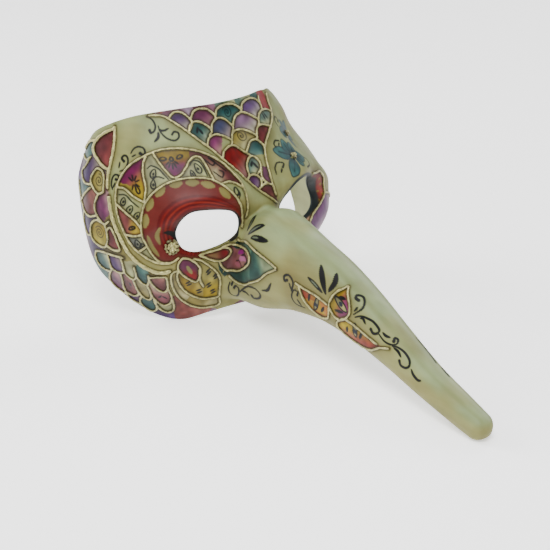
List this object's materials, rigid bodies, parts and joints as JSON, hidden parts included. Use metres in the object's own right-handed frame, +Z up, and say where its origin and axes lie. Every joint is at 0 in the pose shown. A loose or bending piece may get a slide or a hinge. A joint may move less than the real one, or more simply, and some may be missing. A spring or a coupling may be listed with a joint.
{
  "type": "plague doctor mask",
  "caption": "Long-nosed carnival half mask with open eye holes, a drooping hollow nose and raised gilded relief lines.",
  "frame": {"origin": "middle of the mask's footprint, on the table it rests on", "axes": "+Z up as the mask rests on its nose tip and both cheeks, -Y the way the nose points, +X the wearer's left"},
  "size_m": [0.1686, 0.2878, 0.1324],
  "materials": {
    "shell": "hand painted papier-mache under aged matt varnish",
    "gilding": "pale gold paint on raised relief paste",
    "pad": "woven tape"
  },
  "bodies": {
    "root": {"face_shell": "shell", "nose_shell": "shell", "forehead_scale_relief": "gilding", "temple_line_relief": "gilding", "temple_scale_relief": "gilding", "cheek_scale_relief": "gilding", "temple_ridge_relief": "gilding", "eye_ring_relief": "gilding", "petal_cluster_relief": "gilding", "inner_petal_relief": "gilding", "cheek_leaf_relief": "gilding", "left_eye_line_relief": "gilding", "nose_leaf_relief": "gilding", "eye_rosette": "gilding", "brow_flower_button": "gilding", "forehead_flower_button": "gilding", "left_ribbon_pad": "pad", "right_ribbon_pad": "pad"}
  },
  "joints": []
}
